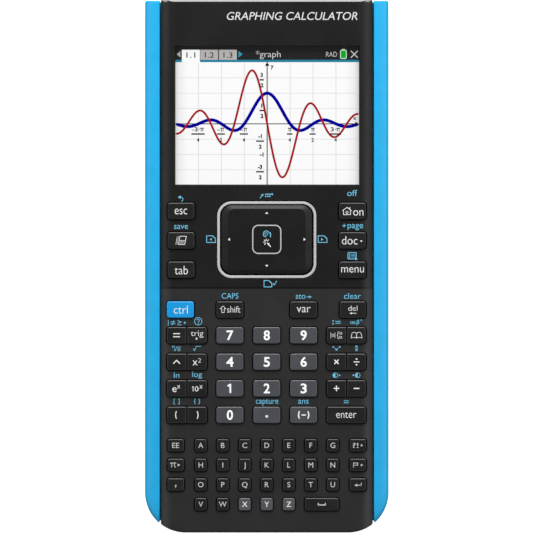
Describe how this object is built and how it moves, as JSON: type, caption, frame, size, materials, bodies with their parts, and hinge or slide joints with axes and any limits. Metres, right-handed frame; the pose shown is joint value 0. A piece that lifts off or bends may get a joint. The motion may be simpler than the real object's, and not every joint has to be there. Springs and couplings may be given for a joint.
{
  "type": "graphing calculator",
  "caption": "Handheld graphing calculator with a colour display, touchpad, letter and digit keys that travel, side rails and a screwed battery cover.",
  "frame": {"origin": "centre of the footprint, on the plane of the four foot pads that it lies on", "axes": "+X to the right and +Y towards the display end when looking at the face, +Z out of the face"},
  "size_m": [0.086, 0.1886, 0.0157],
  "materials": {
    "face_plastic": "fine satin grain, charcoal",
    "back_plastic": "moulded grain, charcoal",
    "blue_rail": "smooth gloss",
    "blue_key": "satin",
    "black_keys": "satin",
    "grey_keys": "satin",
    "touchpad_plastic": "satin, smooth",
    "silver_trim": "satin silver",
    "display_window": "clear, hard coated",
    "display_panel": "lit colour display",
    "membrane_rubber": "matte silicone",
    "circuit_board": "solder mask",
    "battery_wrap": "smooth wrap",
    "socket_metal": "stamped",
    "screw_steel": "dark zinc"
  },
  "bodies": {
    "root": {"front_case": "face_plastic", "rear_case": "back_plastic", "side_rail_left": "blue_rail", "side_rail_right": "blue_rail", "display_window": "display_window", "display_module": "display_panel", "touchpad_ring": "silver_trim", "keypad_membrane": "membrane_rubber", "main_board": "circuit_board", "battery_pack": "battery_wrap", "battery_cover": "back_plastic", "usb_socket": "socket_metal", "case_screw_left": "screw_steel", "case_screw_right": "screw_steel", "battery_cover_screw": "screw_steel"},
    "key_esc": {"key_esc": "black_keys"},
    "key_save": {"key_save": "black_keys"},
    "key_tab": {"key_tab": "black_keys"},
    "key_on": {"key_on": "black_keys"},
    "key_doc": {"key_doc": "black_keys"},
    "key_menu": {"key_menu": "black_keys"},
    "key_ctrl": {"key_ctrl": "blue_key"},
    "key_shift": {"key_shift": "black_keys"},
    "key_var": {"key_var": "black_keys"},
    "key_del": {"key_del": "black_keys"},
    "key_7": {"key_7": "grey_keys"},
    "key_8": {"key_8": "grey_keys"},
    "key_9": {"key_9": "grey_keys"},
    "key_4": {"key_4": "grey_keys"},
    "key_5": {"key_5": "grey_keys"},
    "key_6": {"key_6": "grey_keys"},
    "key_1": {"key_1": "grey_keys"},
    "key_2": {"key_2": "grey_keys"},
    "key_3": {"key_3": "grey_keys"},
    "key_0": {"key_0": "grey_keys"},
    "key_point": {"key_point": "grey_keys"},
    "key_negate": {"key_negate": "grey_keys"},
    "key_enter": {"key_enter": "black_keys"},
    "key_equals": {"key_equals": "black_keys"},
    "key_trig": {"key_trig": "black_keys"},
    "key_power": {"key_power": "black_keys"},
    "key_square": {"key_square": "black_keys"},
    "key_exp": {"key_exp": "black_keys"},
    "key_ten_power": {"key_ten_power": "black_keys"},
    "key_left_paren": {"key_left_paren": "black_keys"},
    "key_right_paren": {"key_right_paren": "black_keys"},
    "key_template": {"key_template": "black_keys"},
    "key_catalog": {"key_catalog": "black_keys"},
    "key_multiply": {"key_multiply": "black_keys"},
    "key_divide": {"key_divide": "black_keys"},
    "key_plus": {"key_plus": "black_keys"},
    "key_minus": {"key_minus": "black_keys"},
    "letter_keys_row_1": {"letter_keys_row_1": "black_keys"},
    "letter_keys_row_2": {"letter_keys_row_2": "black_keys"},
    "letter_keys_row_3": {"letter_keys_row_3": "black_keys"},
    "letter_keys_row_4": {"letter_keys_row_4": "black_keys"},
    "touch_sensor_board": {"touch_sensor_board": "circuit_board"},
    "touchpad_plate": {"touchpad_plate": "touchpad_plastic"},
    "select_button": {"select_button": "touchpad_plastic"},
    "reset_button": {"reset_button": "black_keys"}
  },
  "joints": [
    {"name": "touchpad_tilt_left_right", "type": "hinge", "parent": "root", "child": "touch_sensor_board", "pos_m": [0, 0.0094, 0.011], "axis": [0, 1, 0], "range_deg": [-1, 1], "stiffness_Nm_per_rad": 0.8},
    {"name": "touchpad_tilt_up_down", "type": "hinge", "parent": "touch_sensor_board", "child": "touchpad_plate", "pos_m": [0, 0.0094, 0.011], "axis": [1, 0, 0], "range_deg": [-1, 1], "stiffness_Nm_per_rad": 0.8},
    {"name": "press_select", "type": "slide", "parent": "touchpad_plate", "child": "select_button", "axis": [0, 0, -1], "range_m": [0, 0.0005], "stiffness_N_per_m": 800},
    {"name": "press_reset", "type": "slide", "parent": "root", "child": "reset_button", "axis": [0, 0, 1], "range_m": [0, 0.0004], "stiffness_N_per_m": 800},
    {"name": "press_letters_row_1", "type": "slide", "parent": "root", "child": "letter_keys_row_1", "axis": [0, 0, -1], "range_m": [0, 0.0008], "stiffness_N_per_m": 900, "deforming": ["keypad_membrane"]},
    {"name": "press_letters_row_2", "type": "slide", "parent": "root", "child": "letter_keys_row_2", "axis": [0, 0, -1], "range_m": [0, 0.0008], "stiffness_N_per_m": 900, "deforming": ["keypad_membrane"]},
    {"name": "press_letters_row_3", "type": "slide", "parent": "root", "child": "letter_keys_row_3", "axis": [0, 0, -1], "range_m": [0, 0.0008], "stiffness_N_per_m": 900, "deforming": ["keypad_membrane"]},
    {"name": "press_letters_row_4", "type": "slide", "parent": "root", "child": "letter_keys_row_4", "axis": [0, 0, -1], "range_m": [0, 0.0008], "stiffness_N_per_m": 900, "deforming": ["keypad_membrane"]},
    {"name": "press_ctrl", "type": "slide", "parent": "root", "child": "key_ctrl", "axis": [0, 0, -1], "range_m": [0, 0.0008], "stiffness_N_per_m": 600, "deforming": ["keypad_membrane"]},
    {"name": "press_enter", "type": "slide", "parent": "root", "child": "key_enter", "axis": [0, 0, -1], "range_m": [0, 0.0008], "stiffness_N_per_m": 600, "deforming": ["keypad_membrane"]},
    {"name": "press_esc", "type": "slide", "parent": "root", "child": "key_esc", "axis": [0, 0, -1], "range_m": [0, 0.0008], "stiffness_N_per_m": 600, "deforming": ["keypad_membrane"]},
    {"name": "press_save", "type": "slide", "parent": "root", "child": "key_save", "axis": [0, 0, -1], "range_m": [0, 0.0008], "stiffness_N_per_m": 600, "deforming": ["keypad_membrane"]},
    {"name": "press_tab", "type": "slide", "parent": "root", "child": "key_tab", "axis": [0, 0, -1], "range_m": [0, 0.0008], "stiffness_N_per_m": 600, "deforming": ["keypad_membrane"]},
    {"name": "press_on", "type": "slide", "parent": "root", "child": "key_on", "axis": [0, 0, -1], "range_m": [0, 0.0008], "stiffness_N_per_m": 600, "deforming": ["keypad_membrane"]},
    {"name": "press_doc", "type": "slide", "parent": "root", "child": "key_doc", "axis": [0, 0, -1], "range_m": [0, 0.0008], "stiffness_N_per_m": 600, "deforming": ["keypad_membrane"]},
    {"name": "press_menu", "type": "slide", "parent": "root", "child": "key_menu", "axis": [0, 0, -1], "range_m": [0, 0.0008], "stiffness_N_per_m": 600, "deforming": ["keypad_membrane"]},
    {"name": "press_shift", "type": "slide", "parent": "root", "child": "key_shift", "axis": [0, 0, -1], "range_m": [0, 0.0008], "stiffness_N_per_m": 600, "deforming": ["keypad_membrane"]},
    {"name": "press_var", "type": "slide", "parent": "root", "child": "key_var", "axis": [0, 0, -1], "range_m": [0, 0.0008], "stiffness_N_per_m": 600, "deforming": ["keypad_membrane"]},
    {"name": "press_del", "type": "slide", "parent": "root", "child": "key_del", "axis": [0, 0, -1], "range_m": [0, 0.0008], "stiffness_N_per_m": 600, "deforming": ["keypad_membrane"]},
    {"name": "press_7", "type": "slide", "parent": "root", "child": "key_7", "axis": [0, 0, -1], "range_m": [0, 0.0008], "stiffness_N_per_m": 600, "deforming": ["keypad_membrane"]},
    {"name": "press_8", "type": "slide", "parent": "root", "child": "key_8", "axis": [0, 0, -1], "range_m": [0, 0.0008], "stiffness_N_per_m": 600, "deforming": ["keypad_membrane"]},
    {"name": "press_9", "type": "slide", "parent": "root", "child": "key_9", "axis": [0, 0, -1], "range_m": [0, 0.0008], "stiffness_N_per_m": 600, "deforming": ["keypad_membrane"]},
    {"name": "press_4", "type": "slide", "parent": "root", "child": "key_4", "axis": [0, 0, -1], "range_m": [0, 0.0008], "stiffness_N_per_m": 600, "deforming": ["keypad_membrane"]},
    {"name": "press_5", "type": "slide", "parent": "root", "child": "key_5", "axis": [0, 0, -1], "range_m": [0, 0.0008], "stiffness_N_per_m": 600, "deforming": ["keypad_membrane"]},
    {"name": "press_6", "type": "slide", "parent": "root", "child": "key_6", "axis": [0, 0, -1], "range_m": [0, 0.0008], "stiffness_N_per_m": 600, "deforming": ["keypad_membrane"]},
    {"name": "press_1", "type": "slide", "parent": "root", "child": "key_1", "axis": [0, 0, -1], "range_m": [0, 0.0008], "stiffness_N_per_m": 600, "deforming": ["keypad_membrane"]},
    {"name": "press_2", "type": "slide", "parent": "root", "child": "key_2", "axis": [0, 0, -1], "range_m": [0, 0.0008], "stiffness_N_per_m": 600, "deforming": ["keypad_membrane"]},
    {"name": "press_3", "type": "slide", "parent": "root", "child": "key_3", "axis": [0, 0, -1], "range_m": [0, 0.0008], "stiffness_N_per_m": 600, "deforming": ["keypad_membrane"]},
    {"name": "press_0", "type": "slide", "parent": "root", "child": "key_0", "axis": [0, 0, -1], "range_m": [0, 0.0008], "stiffness_N_per_m": 600, "deforming": ["keypad_membrane"]},
    {"name": "press_point", "type": "slide", "parent": "root", "child": "key_point", "axis": [0, 0, -1], "range_m": [0, 0.0008], "stiffness_N_per_m": 600, "deforming": ["keypad_membrane"]},
    {"name": "press_negate", "type": "slide", "parent": "root", "child": "key_negate", "axis": [0, 0, -1], "range_m": [0, 0.0008], "stiffness_N_per_m": 600, "deforming": ["keypad_membrane"]},
    {"name": "press_equals", "type": "slide", "parent": "root", "child": "key_equals", "axis": [0, 0, -1], "range_m": [0, 0.0008], "stiffness_N_per_m": 600, "deforming": ["keypad_membrane"]},
    {"name": "press_trig", "type": "slide", "parent": "root", "child": "key_trig", "axis": [0, 0, -1], "range_m": [0, 0.0008], "stiffness_N_per_m": 600, "deforming": ["keypad_membrane"]},
    {"name": "press_power", "type": "slide", "parent": "root", "child": "key_power", "axis": [0, 0, -1], "range_m": [0, 0.0008], "stiffness_N_per_m": 600, "deforming": ["keypad_membrane"]},
    {"name": "press_square", "type": "slide", "parent": "root", "child": "key_square", "axis": [0, 0, -1], "range_m": [0, 0.0008], "stiffness_N_per_m": 600, "deforming": ["keypad_membrane"]},
    {"name": "press_exp", "type": "slide", "parent": "root", "child": "key_exp", "axis": [0, 0, -1], "range_m": [0, 0.0008], "stiffness_N_per_m": 600, "deforming": ["keypad_membrane"]},
    {"name": "press_ten_power", "type": "slide", "parent": "root", "child": "key_ten_power", "axis": [0, 0, -1], "range_m": [0, 0.0008], "stiffness_N_per_m": 600, "deforming": ["keypad_membrane"]},
    {"name": "press_left_paren", "type": "slide", "parent": "root", "child": "key_left_paren", "axis": [0, 0, -1], "range_m": [0, 0.0008], "stiffness_N_per_m": 600, "deforming": ["keypad_membrane"]},
    {"name": "press_right_paren", "type": "slide", "parent": "root", "child": "key_right_paren", "axis": [0, 0, -1], "range_m": [0, 0.0008], "stiffness_N_per_m": 600, "deforming": ["keypad_membrane"]},
    {"name": "press_template", "type": "slide", "parent": "root", "child": "key_template", "axis": [0, 0, -1], "range_m": [0, 0.0008], "stiffness_N_per_m": 600, "deforming": ["keypad_membrane"]},
    {"name": "press_catalog", "type": "slide", "parent": "root", "child": "key_catalog", "axis": [0, 0, -1], "range_m": [0, 0.0008], "stiffness_N_per_m": 600, "deforming": ["keypad_membrane"]},
    {"name": "press_multiply", "type": "slide", "parent": "root", "child": "key_multiply", "axis": [0, 0, -1], "range_m": [0, 0.0008], "stiffness_N_per_m": 600, "deforming": ["keypad_membrane"]},
    {"name": "press_divide", "type": "slide", "parent": "root", "child": "key_divide", "axis": [0, 0, -1], "range_m": [0, 0.0008], "stiffness_N_per_m": 600, "deforming": ["keypad_membrane"]},
    {"name": "press_plus", "type": "slide", "parent": "root", "child": "key_plus", "axis": [0, 0, -1], "range_m": [0, 0.0008], "stiffness_N_per_m": 600, "deforming": ["keypad_membrane"]},
    {"name": "press_minus", "type": "slide", "parent": "root", "child": "key_minus", "axis": [0, 0, -1], "range_m": [0, 0.0008], "stiffness_N_per_m": 600, "deforming": ["keypad_membrane"]}
  ]
}
